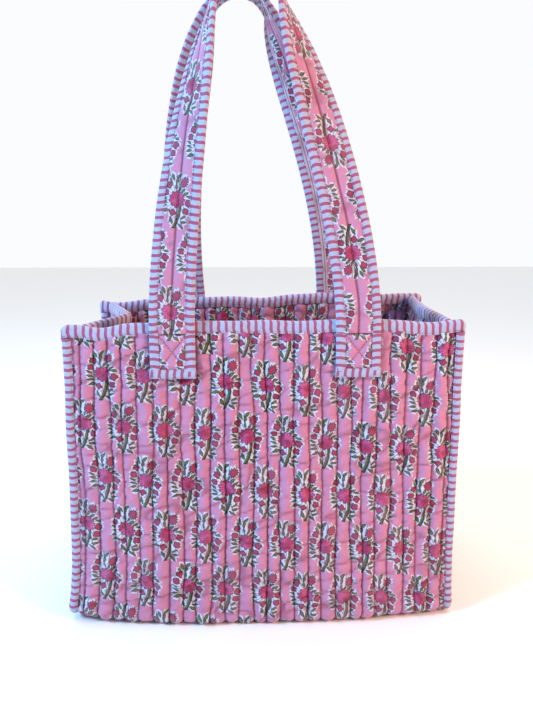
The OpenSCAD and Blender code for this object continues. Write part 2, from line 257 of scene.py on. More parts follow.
class Shader:
    """A material and short names for the nodes that it is made from."""

    def __init__(self, name):
        self.material = bpy.data.materials.new(name)
        self.material.use_nodes = True
        self.nodes = self.material.node_tree.nodes
        self.links = self.material.node_tree.links
        self.surface = self.nodes["Principled BSDF"]

    def put(self, socket, value):
        if isinstance(value, bpy.types.NodeSocket):
            self.links.new(value, socket)
        elif value is not None:
            socket.default_value = value

    def node(self, kind, *values, out=0, **settings):
        """Adds a node with its settings, fills its inputs in order, and gives one of its outputs."""
        n = self.nodes.new("ShaderNode" + kind)
        for key, setting in settings.items():
            setattr(n, key, setting)
        for socket, value in zip(n.inputs, values):
            self.put(socket, value)
        return n.outputs[out]

    def math(self, operation, a, b=None, c=None):
        return self.node("Math", a, b, c, operation=operation)

    def times(self, a, b):
        return self.math("MULTIPLY", a, b)

    def vector(self, operation, a, b=None):
        out = "Value" if operation == "LENGTH" else "Vector"
        return self.node("VectorMath", a, b, out=out, operation=operation)

    def scaled(self, vector, x, y):
        return self.vector("MULTIPLY", vector, (x, y, 0))

    def parts(self, vector):
        """The x and the y of a vector."""
        n = self.nodes.new("ShaderNodeSeparateXYZ")
        self.put(n.inputs[0], vector)
        return n.outputs[0], n.outputs[1]

    def join(self, x, y):
        return self.node("CombineXYZ", x, y)

    def mix(self, share, a, b, blend="MIX"):
        a, b = ((*v, 1) if isinstance(v, tuple) else v for v in (a, b))
        skip = [None] * 5  # the inputs for numbers and vectors
        settings = {"data_type": "RGBA", "blend_type": blend, "clamp_factor": True}
        return self.node("Mix", share, *skip, a, b, out=2, **settings)

    def step(self, value, start, end):
        """1 up to start and 0 past end, or the reverse when end is the smaller."""
        limits = (*sorted((start, end)), float(start < end), float(start > end))
        return self.node("MapRange", value, *limits, interpolation_type="SMOOTHSTEP")

    def noise(self, vector, scale, detail=2.0, out="Fac"):
        return self.node("TexNoise", vector, None, scale, detail, out=out)

    def placed(self, vector, place, turn, size):
        """The vector in a frame at place, turned by so many degrees and stretched to size."""
        turn = (0, 0, math.radians(turn))
        return self.node("Mapping", vector, (*place, 0), turn, (*size, 1), vector_type="TEXTURE")

    def cloth(self):
        """Cloth coordinates in millimetres."""
        return self.scaled(self.node("UVMap", uv_map="cloth"), 1000, 1000)

    def least(self, values):
        total = values[0]
        for v in values[1:]:
            total = self.math("MINIMUM", total, v)
        return total

    def weave(self, cloth, pitch, strength, height, extra):
        """Bump of a plain weave, with threads that many millimetres apart, of slubs and of what is extra."""
        turn = 2 * math.pi / pitch
        warp, weft = (self.math("SINE", self.times(v, turn)) for v in self.parts(cloth))
        slub = self.noise(self.scaled(cloth, 0.5, 3.0), 1.0, 3)
        total = self.math("MULTIPLY_ADD", slub, 2.0, self.times(warp, weft))
        n = self.nodes.new("ShaderNodeBump")
        n.inputs["Strength"].default_value = strength
        n.inputs["Distance"].default_value = height
        self.put(n.inputs["Height"], self.math("ADD", total, extra))
        self.put(self.surface.inputs["Normal"], n.outputs[0])

    def cotton(self, colour, roughness, sheen=0.25):
        s = self.surface.inputs
        self.put(s["Base Color"], colour)
        self.put(s["Roughness"], roughness)
        s["Specular IOR Level"].default_value = 0.25
        s["Sheen Weight"].default_value = sheen
        s["Sheen Roughness"].default_value = 0.5
        return self.material


# The print: a flowering stem in each cell of a brick lattice, in millimetres from the middle of
# its big flower. Leaves are (x, y, half length, half width, turn in degrees).
CELL = (40.5, 54.0)
ROW_SLOPE = 0.10
LEAVES = (
    (-6.4, 21.0, 4.0, 1.5, 115), (-0.4, 23.0, 4.0, 1.4, 50), (-8.4, 17.2, 3.4, 1.3, 130),
    (-2.0, 17.8, 3.6, 1.4, 75), (-2.6, 11.6, 2.9, 1.2, 95), (1.8, 10.4, 2.8, 1.3, 60),
    (5.6, 8.7, 3.2, 1.4, 45), (8.8, 6.2, 3.2, 1.4, 25), (12.4, 3.6, 3.5, 1.2, -10),
    (-13.4, 0.2, 3.2, 1.2, 150), (-12.8, -3.6, 3.3, 1.3, 165), (-12.8, -7.6, 3.6, 1.3, 190),
    (-10.6, -12.0, 4.1, 1.5, 200), (-4.4, -21.2, 4.1, 1.5, 115), (7.8, -16.8, 3.5, 1.2, 35),
    (8.2, -21.4, 3.7, 1.3, 10), (5.4, -25.4, 4.1, 1.3, -35),
)
BUDS = (
    (-9.8, 12.6, 3.3, 20), (-12.4, 5.4, 3.1, 50), (12.0, -2.6, 3.4, 10),
    (9.8, -10.6, 3.2, 35), (-3.9, -13.2, 3.1, 80),
)
BIG_BUD = (6.4, 16.8, 4.0, 5.2)
FLOWER_R = 7.7
INK = (0.045, 0.014, 0.024)


def leaf_shape(sh, at, leaf):
    """A leaf with pointed ends: below 1 inside it."""
    x, y, half_length, half_width, turn = leaf
    along, side = sh.parts(sh.placed(at, (x, y), turn, (half_length, half_width)))
    return sh.math("MULTIPLY_ADD", along, along, sh.math("ABSOLUTE", side))


def lobed(sh, at, place, size, lobes, depth, turn=0.0):
    """A round shape with lobes, below 1 inside it, and the angle round it."""
    local = sh.placed(at, place, turn, size)
    x, y = sh.parts(local)
    angle = sh.math("ARCTAN2", y, x)
    wave = sh.math("ABSOLUTE", sh.math("COSINE", sh.times(angle, lobes / 2)))
    reach = sh.math("MULTIPLY_ADD", wave, depth, 1 - 0.7 * depth)
    return sh.math("DIVIDE", sh.vector("LENGTH", local), reach), angle


def in_cell(sh, cloth):
    """The place within one print of the block, from the middle of its big flower, the height in its
    cell, and a chance value of its own."""
    x, y = sh.parts(cloth)
    y = sh.math("MULTIPLY_ADD", x, ROW_SLOPE, y)
    row = sh.math("FLOOR", sh.math("DIVIDE", y, CELL[1]))
    odd = sh.math("MODULO", sh.math("ABSOLUTE", row), 2.0)
    x = sh.math("MULTIPLY_ADD", odd, CELL[0] / 2, x)
    column = sh.math("FLOOR", sh.math("DIVIDE", x, CELL[0]))
    across = sh.math("SUBTRACT", x, sh.times(sh.math("ADD", column, 0.5), CELL[0]))
    up = sh.math("SUBTRACT", y, sh.times(sh.math("ADD", row, 0.5), CELL[1]))
    chance = sh.nodes.new("ShaderNodeTexWhiteNoise")
    chance.noise_dimensions = "2D"
    sh.put(chance.inputs["Vector"], sh.join(column, row))
    # The block is never set down quite in its place, and its outlines are ragged.
    jitter = sh.scaled(sh.vector("SUBTRACT", chance.outputs["Color"], (0.5, 0.5, 0)), 2.4, 0.9)
    ragged = sh.vector("SUBTRACT", sh.noise(cloth, 0.55, 2, "Color"), (0.5, 0.5, 0.5))
    at = sh.vector("ADD", sh.vector("ADD", sh.join(across, up), jitter), sh.scaled(ragged, 1.7, 1.7))
    at = sh.scaled(sh.vector("SUBTRACT", at, (0.0, 0.8, 0)), 1.02, 1.02)
    return at, up, chance.outputs["Value"]


def inked(sh, shape, fill, colour, line=INK, edge=0.78):
    """Fills a shape and draws its outline over the colour beneath."""
    colour = sh.mix(sh.step(shape, 1.0, 1.18), colour, line)
    return sh.mix(sh.step(shape, edge, edge + 0.14), colour, fill)


def ground_colour(sh, cloth, up, tone):
    """The cloth's own dye, with the faint lines where the printing block's rows meet."""

    def dye(red, green, blue):
        return (red * tone, green * tone, blue * tone)

    blotch = sh.noise(cloth, 0.035, 3)
    fine = sh.noise(cloth, 0.9, 3)
    ground = sh.mix(blotch, dye(0.480, 0.170, 0.330), dye(0.590, 0.250, 0.450))
    ground = sh.mix(sh.times(fine, 0.35), ground, dye(0.65, 0.34, 0.54))
    join_line = sh.step(sh.math("ABSOLUTE", up), CELL[1] / 2 - 0.2, CELL[1] / 2 - 1.0)
    join_line = sh.times(join_line, sh.times(sh.step(blotch, 0.58, 0.50), 0.30))
    return sh.mix(join_line, ground, dye(0.52, 0.10, 0.22))


def floral_colour(sh, cloth, tone):
    """The block print's colour. tone scales the ground's colour."""
    at, up, chance = in_cell(sh, cloth)
    px, py = sh.parts(at)
    leaf = sh.least([leaf_shape(sh, at, leaf) for leaf in LEAVES])
    drop = sh.math("DIVIDE", sh.math("ADD", py, 6.0), -22.5)
    stem_x = sh.math("MULTIPLY_ADD", sh.times(drop, drop), -6.0, 3.6)
    stem_side = sh.math("SUBTRACT", px, stem_x)
    stem = sh.math(
        "MAXIMUM",
        sh.math("DIVIDE", sh.math("ABSOLUTE", stem_side), 1.6),
        sh.math("DIVIDE", sh.math("ABSOLUTE", sh.math("ADD", py, 17.5)), 11.5),
    )
    buds = [lobed(sh, at, (x, y), (r, r), 4, 0.24, turn)[0] for x, y, r, turn in BUDS]
    fringed = lobed(sh, at, BIG_BUD[:2], BIG_BUD[2:], 13, 0.30, -25)[0]
    bud = sh.least([*buds, fringed])
    flower, petal_angle = lobed(sh, at, (0.0, 0.0), (FLOWER_R, FLOWER_R), 11, 0.22)

    shares = ((leaf, 0.42), (stem, 0.55), (bud, 0.64), (flower, 0.72))
    halos = [sh.times(shape, share) for shape, share in shares]
    halo = sh.least([*halos, sh.vector("LENGTH", sh.placed(at, (-0.6, 1.0), 0, (11.0, 17.5)))])
    colour = ground_colour(sh, cloth, up, tone)
    near = sh.step(halo, 0.86, 1.10)
    colour = sh.mix(near, colour, (0.59, 0.64, 0.86))
    # Fine lines run out from the flower to the buds and leaves.
    rays = sh.step(sh.math("SINE", sh.times(petal_angle, 23.0)), 0.80, 0.60)
    colour = sh.mix(sh.times(rays, sh.times(near, 0.65)), colour, (0.07, 0.06, 0.05))

    green = sh.mix(sh.noise(cloth, 0.7, 2), (0.050, 0.078, 0.022), (0.170, 0.215, 0.075))
    stem_green = sh.mix(sh.step(stem_side, -0.6, 0.4), (0.030, 0.050, 0.015), green)
    colour = inked(sh, stem, stem_green, colour)
    colour = inked(sh, leaf, green, colour, (0.018, 0.022, 0.014), 0.54)
    red = sh.mix(sh.noise(cloth, 0.8, 2), (0.200, 0.012, 0.050), (0.450, 0.060, 0.150))
    colour = inked(sh, bud, red, colour)
    petals = sh.step(sh.math("SINE", sh.times(petal_angle, 15.0)), 0.95, 0.55)
    pink = sh.mix(sh.step(sh.noise(cloth, 0.10, 2), 0.56, 0.44), (0.400, 0.038, 0.145), (0.540, 0.100, 0.300))
    heart = sh.step(sh.vector("LENGTH", sh.placed(at, (1.4, -2.0), 20, (3.2, 3.8))), 0.55, 1.15)
    pink = sh.mix(sh.times(heart, 0.6), pink, (0.300, 0.014, 0.070))
    pink = sh.mix(sh.times(petals, 0.80), pink, (0.160, 0.008, 0.045))
    colour = inked(sh, flower, pink, colour, edge=0.90)
    # Each print of the block holds a little more or less ink.
    return sh.mix(sh.times(chance, 0.14), colour, (0.58, 0.28, 0.45))


def printed_cotton(name, tone, offset, border=False):
    """Block-printed cotton, with painted shade along the rows of quilting, in its creases and beside its
    tapes. border adds a selvedge with a line.
    """
    sh = Shader(name)
    cloth = sh.cloth()
    colour = floral_colour(sh, sh.vector("ADD", cloth, (*offset, 0)), tone)
    if border:
        out = sh.math("ABSOLUTE", sh.parts(cloth)[0])
        colour = sh.mix(sh.step(out, 8.8, 8.4), colour, (0.50, 0.50, 0.62))
        line = sh.math("ABSOLUTE", sh.math("SUBTRACT", out, 10.6))
        colour = sh.mix(sh.step(line, 0.45, 0.65), colour, (0.50, 0.10, 0.18))
    # Painted shade: the print is darkened where the 'seam' attribute is high, in the valleys at rows of
    # stitches, in creases and in the dips beside the tapes.
    seam = sh.node("Attribute", out="Fac", attribute_name="seam")
    colour = sh.mix(sh.times(seam, 0.85), colour, (0.26, 0.05, 0.08), "MULTIPLY")
    fuzz = sh.noise(cloth, 1.6, 4)
    crinkle = sh.noise(sh.scaled(cloth, 0.05, 0.26), 1.0, 3)
    sh.weave(cloth, 0.75, 0.35, 0.12 * MM, sh.math("MULTIPLY_ADD", crinkle, 26.0, sh.times(fuzz, 1.5)))
    return sh.cotton(colour, sh.math("MULTIPLY_ADD", fuzz, 0.15, 0.76))


STRIPE_PITCH = 7.4


def striped_tape():
    """Cotton tape with stripes across its length."""
    sh = Shader("striped_tape")
    cloth = sh.cloth()
    x, y = sh.parts(cloth)
    # The stripes bow where the tape was drawn over the padded edge.
    bow = sh.math("SINE", sh.times(y, math.pi / 10.5))
    bow = sh.times(bow, bow)
    wander = sh.math("MULTIPLY_ADD", sh.noise(cloth, 0.12, 2), 1.5, sh.math("MULTIPLY_ADD", bow, 0.5, x))
    along = sh.math("DIVIDE", sh.math("MULTIPLY_ADD", y, 0.06, wander), STRIPE_PITCH)
    share = sh.math("ABSOLUTE", sh.math("SUBTRACT", sh.math("FRACT", along), 0.5))
    stripe = sh.step(share, 0.175, 0.235)
    pale = sh.mix(sh.noise(cloth, 0.3, 3), (0.34, 0.40, 0.62), (0.46, 0.52, 0.75))
    rose = sh.mix(sh.noise(cloth, 0.9, 3), (0.28, 0.058, 0.145), (0.42, 0.120, 0.240))
    colour = sh.mix(stripe, pale, rose)
    fuzz = sh.noise(cloth, 1.8, 4)
    sh.weave(cloth, 0.7, 0.35, 0.12 * MM, sh.times(fuzz, 1.5))
    return sh.cotton(colour, sh.math("MULTIPLY_ADD", fuzz, 0.15, 0.76))


def batting():
    """Loose cotton wadding."""
    sh = Shader("cotton_wadding")
    cloth = sh.cloth()
    fibre = sh.noise(sh.scaled(cloth, 0.5, 2.0), 1.0, 5)
    colour = sh.mix(fibre, (0.70, 0.66, 0.58), (0.86, 0.84, 0.79))
    sh.weave(cloth, 2.5, 0.5, 0.4 * MM, fibre)
    return sh.cotton(colour, 0.95, 0.4)


def thread(name, dark, light):
    """Twisted cotton thread."""
    sh = Shader(name)
    cloth = sh.cloth()
    x, y = sh.parts(cloth)
    twist = sh.math("SINE", sh.times(sh.math("ADD", x, y), 12.0))
    colour = sh.mix(sh.math("MULTIPLY_ADD", twist, 0.3, 0.5), dark, light)
    sh.weave(cloth, 0.5, 0.3, 0.05 * MM, twist)
    return sh.cotton(colour, 0.6, 0.2)


# Each look is a material and the name of a slot in the record; the script doesn't read the slot.
PRINT = printed_cotton("block_print", 1.0, (20.7, 4.6)), "printed_cloth"
LINING = printed_cotton("block_print_lining", 0.92, (11.0, 23.0)), "lining_cloth"
STRAP_LINING = printed_cotton("block_print_border", 0.92, (5.0, 12.0), border=True), "lining_cloth"
TAPE = striped_tape(), "striped_tape"
WADDING = batting(), "wadding"
QUILT_THREAD = thread("quilting_thread", (0.20, 0.045, 0.085), (0.40, 0.13, 0.20)), "quilting_thread"
BOX_THREAD = thread("box_thread", (0.16, 0.03, 0.07), (0.38, 0.10, 0.19)), "box_thread"

# ----- the quilt's surface -----

CORNER_R = 9 * MM  # where the quilt rolls under the bag
BASE_Z = MID + 0.6 * MM
BELLY = 12 * MM  # how far the panels bulge out at their foot
FLAT = HALF_BASE - MID - CORNER_R
ARC = CORNER_R * math.pi / 2
WALL = math.hypot(RIM_Z - BASE_Z - CORNER_R, HALF_BASE - HALF_MOUTH)
WRAP_HALF = FLAT + ARC + WALL


def corner_lift(u):
    """How far the corners of the base are drawn up, the left ones the most."""
    return (4.0 - 2.5 * np.clip(u / HALF_W, -1, 1)) * MM


def bump(u, place, width):
    """A soft rise from 0 to 1 and back, around a place."""
    return np.exp(-(((u - place) / width) ** 2))


def rim_rise(u, side):
    """How far the rim stands above its level line, on the front (side -1) and back.

    The front sags beside the straps and stands up at its corners. The back is held higher, most of all
    at its right end, and its left corner curls up.
    """
    across = np.clip(u / HALF_W, -1, 1)
    front = -5.0 * np.abs(across) ** 5 + 3.5 * np.clip(across, 0, 1) ** 9
    front = front - 6.0 * bump(u, -0.163, 0.020) - 3.0 * bump(u, -0.115, 0.040)
    front = front - 2.0 * bump(u, 0.0, 0.070) - 3.0 * bump(u, 0.165, 0.020)
    back = 7.0 + 4.5 * across - 1.5 * across**2 - 1.4 * np.cos(u / STRAP_X * math.pi)
    back = back + 3.0 * bump(across, -1.0, 0.05)
    return (np.where(side < 0, front, back) + 1.1 * noise(u / 0.035, side * 3.0, 21)) * MM


def wrap(u, s):
    """The middle of the quilt: u runs across the bag, and s from the middle of the base, front negative."""
    u, s = np.broadcast_arrays(u, s)
    d, side = np.abs(s), np.where(s < 0, -1.0, 1.0)
    turn = np.clip((d - FLAT) / CORNER_R, 0, math.pi / 2)
    t = np.clip((d - FLAT - ARC) / WALL, 0, 1.02)
    y = np.minimum(d, FLAT) + CORNER_R * np.sin(turn) + (HALF_MOUTH - HALF_BASE) * t
    z = BASE_Z + CORNER_R * (1 - np.cos(turn)) + (RIM_Z - BASE_Z - CORNER_R) * t
    across = np.clip(np.abs(u) / HALF_W, 0, 1)
    inner = 1 - across**6
    belly = BELLY * (1 - across**2.5) * (1 - t**1.6)
    sway = 2.6 * MM * noise(u / 0.075 + 5, d / 0.10 + side, 11)
    sway = sway + 1.9 * MM * noise(u / 0.034, d / 0.15 + side * 2, 12)
    y = y + (belly + sway * inner * ramp(d, FLAT, FLAT + 0.06)) * np.clip(d / FLAT, 0, 1)
    lift = corner_lift(u) * across**3 * (1 - t) ** 2
    # The seams flare at the foot, the left one more, and the right one is drawn in above it.
    x = u * (1 + np.where(u < 0, 0.040, 0.020) * (1 - t) ** 8)
    x = x - 4.0 * MM * np.clip(u / HALF_W, 0, 1) ** 3 * (1 - t)
    x = x + 1.0 * MM * noise(d / 0.05, side * 2.0, 31) * np.sign(u) * across**4
    return np.stack([x, side * y, z + lift + rim_rise(u, side) * t**3], -1)


def side_panel(sign):
    """The middle of a side panel: a runs from front to back as a share from -1 to 1, s up from the base."""

    def place(a, s):
        a, s = np.broadcast_arrays(a, s)
        z = BASE_Z + corner_lift(sign * HALF_W) * (1 - s / RIM_Z) ** 2 + s
        corners = rim_rise(sign * HALF_W, -1), rim_rise(sign * HALF_W, 1)
        rise = corners[0] * (1 - a) / 2 + corners[1] * (1 + a) / 2
        z = z + rise * (s / RIM_Z) ** 3
        t = np.clip((z - BASE_Z) / (RIM_Z - BASE_Z), 0, 1)
        reach = HALF_BASE - MID + (HALF_MOUTH - HALF_BASE) * t - 2.0 * MM
        x = np.full_like(z, SIDE_X - MID)
        if sign < 0:
            fold = t * 1.05 - np.abs(a)
            soft = 0.05
            fold = 0.5 * (fold + np.sqrt(fold**2 + soft**2)) - soft / 2 * (1 - t)
            x = x - FOLD_IN * np.clip(fold, 0, 1)
        else:
            bow = np.cos(a * math.pi / 2)
            x = x - 5 * MM * bow * np.sin(t * math.pi) - 6 * MM * bow * t**3
        x = x + 1.2 * MM * noise(a * 2 + 4, s / 0.06, 41 + sign) * (1 - np.abs(a) ** 4)
        return np.stack([sign * x, a * reach, z], -1)

    return place


def normals(place, a, s, step_a, step_s):
    """Unit normals of a surface, by small steps along its two directions."""
    across = place(a + step_a, s) - place(a - step_a, s)
    up = place(a, s + step_s) - place(a, s - step_s)
    return unit(np.cross(across, up))


PUFF = 2.5 * MM
FLAT_HALF = 0.9 * MM  # half the quilt's thickness at a row of stitches
DRAWN_IN = 1.06  # how much wider a cloth is cut than the quilted panel that it makes
SUB = 8  # columns of the mesh in each channel
ROW = 2.5 * MM  # height of a row of the mesh
PRINT_GROWTH, LINING_GROWTH = 0.07, 0.05  # how much too big a cloth is for its place, as a share
SWELL_CAP = 1.6 * MM


def settle(o, stitched, growth):
    """Swells a cloth that is a little too big for its place, by simulation, on a larger copy of it.

    It stays put where it is stitched, wrinkles between, and moves no point further than SWELL_CAP.
    """
    bigger, frames = 20, 12
    start = np.zeros(len(o.data.vertices) * 3)
    o.data.vertices.foreach_get("co", start)
    o.data.transform(Matrix.Scale(bigger, 4))
    o.vertex_groups.new(name="stitched").add(np.flatnonzero(stitched).tolist(), 1.0, "REPLACE")
    cloth = o.modifiers.new("cloth", "CLOTH")
    cloth.settings.quality = 3
    cloth.settings.mass = 0.3
    cloth.settings.bending_stiffness = 0.05
    cloth.settings.vertex_group_mass = "stitched"
    cloth.settings.shrink_min = -growth
    cloth.settings.effector_weights.gravity = 0
    cloth.collision_settings.use_collision = False
    cloth.collision_settings.use_self_collision = False
    cloth.point_cache.frame_end = frames
    for moment in range(1, frames + 1):
        bpy.context.scene.frame_set(moment)
    done = o.evaluated_get(bpy.context.evaluated_depsgraph_get()).data
    moved = np.zeros(len(o.data.vertices) * 3)
    done.vertices.foreach_get("co", moved)
    o.modifiers.remove(cloth)
    o.vertex_groups.clear()
    step = (moved / bigger - start).reshape(-1, 3)
    far = np.linalg.norm(step, axis=1, keepdims=True)
    step = step * np.minimum(1, SWELL_CAP / np.maximum(far, 1e-9))
    o.data.vertices.foreach_set("co", on_floor(start.reshape(-1, 3) + step).ravel())
    o.data.update()
    bpy.context.scene.frame_set(1)


def on_floor(points):
    """Presses what would sink into the floor flat against it."""
    z = points[..., 2] - 0.3 * MM
    soft = 0.5 * MM
    points = points.copy()
    points[..., 2] = 0.3 * MM + (z + np.sqrt(z**2 + soft**2)) / 2
    return points


class Quilt:
    """A quilted panel on a grid of points, with a row of stitches between each channel and the next.

    place gives the middle of the quilt, at the distance across over scale and the distance along.
    """

    def __init__(self, place, width, start, end, scale, outward, seed, ends, turn=1):
        channels = round(width / CHANNEL / 2) * 2
        rows = round(abs(end - start) / ROW)
        flat_a = np.linspace(-width / 2, width / 2, channels * SUB + 1)
        flat_s = np.linspace(start, end, rows + 1)
        a, s = np.meshgrid(flat_a, flat_s, indexing="ij")
        to_edge = width / 2 - np.abs(a)
        row = (np.arange(flat_a.size) / SUB)[:, None] * np.ones_like(a)
        bent = a + self.wander(s, row, seed) * ramp(to_edge, 0, 12 * MM)
        self.cloth = np.stack([bent * turn, s * np.sign(end)], -1)
        self.mid = place(bent / scale, s)
        self.normal = normals(place, bent / scale, s, 0.5 * MM / scale, 0.5 * MM)
        centre = a.shape[0] // 2, a.shape[1] // 2
        self.normal = self.normal * np.sign(self.normal[centre] @ outward)
        self.out = self.normal[centre]
        self.phase = np.abs(row % 1 * 2 - 1)
        self.fullness = ramp(to_edge, 8 * MM, 12.5 * MM)
        for limit, reach in zip((end, start), ends):
            if reach:
                self.fullness = np.minimum(self.fullness, ramp(np.abs(s - limit), 0.35 * reach, reach))
        # Painted shade in the dip where the quilt puffs up beside a seam's tape.
        self.shade_beside_tape = 0.7 * bump(to_edge, EDGE_TAPE - 0.5 * MM, 1.3 * MM)
        # Thin creases run across the channels, most of them level.
        self.crease = 1 - np.clip(np.abs(noise(s / 0.012 + a / 0.05, a / 0.035, seed + 55)) / 0.20, 0, 1)
        self.seed, self.a, self.s = seed, a, s
        self.flat = (width * DRAWN_IN, abs(end - start) * 1.02)

    @staticmethod
    def wander(s, row, seed):
        """How far the rows of stitches stray from straight lines, each in its own way."""
        whole = np.floor(row)
        between = row - whole

        def stray(k):
            slow = 2.2 * noise(s / 0.075, k * 5.3, seed) + 0.8 * noise(s / 0.022, k * 7.1, seed + 1)
            return (slow + 1.9 * noise(k * 3.7, 0.5, seed + 2)) * MM

        return stray(whole) * (1 - between) + stray(whole + 1) * between

    def relief(self, outside):
        """Height of one face over the middle of the quilt."""
        puff, seed = (PUFF, self.seed + 50) if outside else (PUFF * 0.8, self.seed + 70)
        crown = 1 - self.phase**2.2
        a, s = self.a, self.s
        swell = 1 + 0.38 * noise(s / 0.03, a / 0.012, seed)
        swell = swell + 0.32 * noise(s / 0.12, a / 0.02, seed + 4)
        pucker = self.phase**2 * noise(s / 0.0055, a / 0.01, seed + 1)
        dent = noise(s / 0.014, a / 0.011, seed + 2) + 0.6 * noise(s / 0.007, a / 0.02, seed + 3)
        height = puff * crown * swell + 0.40 * MM * pucker + (0.55 * dent - 1.05 * self.crease) * MM * crown
        return FLAT_HALF + 0.3 * MM + np.maximum(height, -0.2 * MM) * self.fullness

    def face(self, name, outside, growth):
        """The cloth on one side of the quilt."""
        height = self.relief(outside)
        points = on_floor(self.mid + self.normal * (height if outside else -height)[..., None])
        # Painted shade, kept in the 'seam' attribute: darker in the valleys at the rows of stitches, beside
        # the tapes and along the creases.
        seam = np.maximum(self.phase**8 * self.fullness, self.shade_beside_tape)
        seam = np.maximum(seam, 0.50 * self.crease * self.fullness)
        o = grid_object(name, points, self.cloth if outside else self.cloth * (-1, 1), seam)
        turn_to(o, self.out if outside else -self.out, len(o.data.polygons) // 2)
        stitched = (self.phase > 0.99) | (self.fullness < 0.05)
        settle(o, stitched.ravel(), growth)
        return thicken(o)

    def wadding(self, name):
        """The pad between the two cloths, on every second column and fourth row."""
        keep = np.s_[::2, ::4]
        outer, inner = (self.relief(outside)[keep][..., None] * 0.3 for outside in (True, False))
        mid, normal = self.mid[keep], self.normal[keep]
        return shell_object(name, mid + normal * outer, mid - normal * inner, self.cloth[keep])

    def thread(self, name):
        """The stitches, a row of them between each channel and the next."""
        lots = []
        height = self.relief(True)
        for k in range(SUB, self.a.shape[0] - 1, SUB):
            keep = self.fullness[k] > 0.25
            line = self.mid[k] + self.normal[k] * (height[k] - 0.05 * MM)[:, None]
            first = (k * 1.7 % 5) * MM
            lots += stitch_parts(line[keep], self.normal[k][keep], QUILT_STITCH, first)
        return join_parts(name, lots)


def panel(name, quilt):
    """The four pieces of a quilted panel, on the bag."""
    for side, look, growth in (("_print", PRINT, PRINT_GROWTH), ("_lining", LINING, LINING_GROWTH)):
        face = quilt.face(name + side + "_cloth", look is PRINT, growth)
        show(face, look, "bag", name + side)
    pad = show(quilt.wadding(name + "_wadding_pad"), WADDING, "bag", name + "_wadding")
    show(quilt.thread(name + "_quilting_stitches"), QUILT_THREAD, "bag", name + "_quilting")


WIDTH = 2 * (HALF_W - 1.5 * MM)
SEAM_S = FLAT - 6 * MM  # where the front and back panels meet the base, out of sight
TOP_S = WRAP_HALF - 1.5 * MM
SIDE_REACH = HALF_BASE - 8 * MM
SIDE_TOP = RIM_Z - BASE_Z - 2 * MM
BASE_S = SEAM_S - 0.5 * MM
# How far from its top and its foot a panel's quilting flattens out. The base doesn't.
TOP_ONLY, BOTH_ENDS, NEITHER = (14 * MM, 0.0), (14 * MM, 8 * MM), (0.0, 0.0)
panel("front", Quilt(wrap, WIDTH, -SEAM_S, -TOP_S, 1.0, (0, -1, 0), 100, TOP_ONLY))
panel("back", Quilt(wrap, WIDTH, SEAM_S, TOP_S, 1.0, (0, 1, 0), 200, TOP_ONLY, turn=-1))
panel("base", Quilt(wrap, WIDTH, -BASE_S, BASE_S, 1.0, (0, 0, -1), 300, NEITHER))
for name, sign, seed in (("left_side", -1, 400), ("right_side", 1, 500)):
    across, out = 2 * SIDE_REACH, (sign, 0, 0)
    panel(name, Quilt(side_panel(sign), across, 1 * MM, SIDE_TOP, SIDE_REACH, out, seed, BOTH_ENDS, sign))

# ----- tape folded over an edge -----

TAPE_THICK = 0.7 * MM
# Kinds of folded tape: its width, half the thickness of what it holds, how far it puffs up over that,
# and the height of its creases.
SEAM_TAPE = (EDGE_TAPE, 3.4 * MM, 1.2 * MM, 0.35 * MM)
RIM_TAPE = (RIM_DEPTH, 3.6 * MM, 1.1 * MM, 0.70 * MM)
STRAP_TAPE = (EDGE_TAPE, 2.3 * MM, 0.35 * MM, 0.25 * MM)
END_TAPE = (EDGE_TAPE, 2.3 * MM, 0.30 * MM, 0.25 * MM)
FOOT_TAPE = (EDGE_TAPE, 2.6 * MM, 0.30 * MM, 0.25 * MM)


def tape_ring(width, half, puff):
    """Section of a folded tape, as (distance in from the fold, height over the middle), round the tape."""
    inward = np.array([1.0, 0.93, 0.84, 0.72, 0.55, 0.38, 0.24, 0.13, 0.05, 0.0]) * width
    rise = np.sqrt(np.clip(1 - (1 - np.minimum(inward / (half * 1.1), 1)) ** 2, 0, 1))
    shape = half * rise + puff * np.sin(np.pi * np.clip(inward / width, 0, 1))
    shape = shape - 0.35 * MM * np.exp(-(((inward / width - 0.84) / 0.06) ** 2))  # the row of stitches
    outer = np.concatenate([np.stack([inward, shape], -1), np.stack([inward[-2::-1], -shape[-2::-1]], -1)])
    inner = outer[::-1].copy()
    inner[:, 0] = np.maximum(inner[:, 0], 0) * (1 - TAPE_THICK / width) + TAPE_THICK
    inner[:, 0] = np.minimum(inner[:, 0], width)
    inner[:, 1] = np.sign(inner[:, 1]) * np.maximum(np.abs(inner[:, 1]) - TAPE_THICK, 0)
    return np.concatenate([outer, inner[1:-1]])


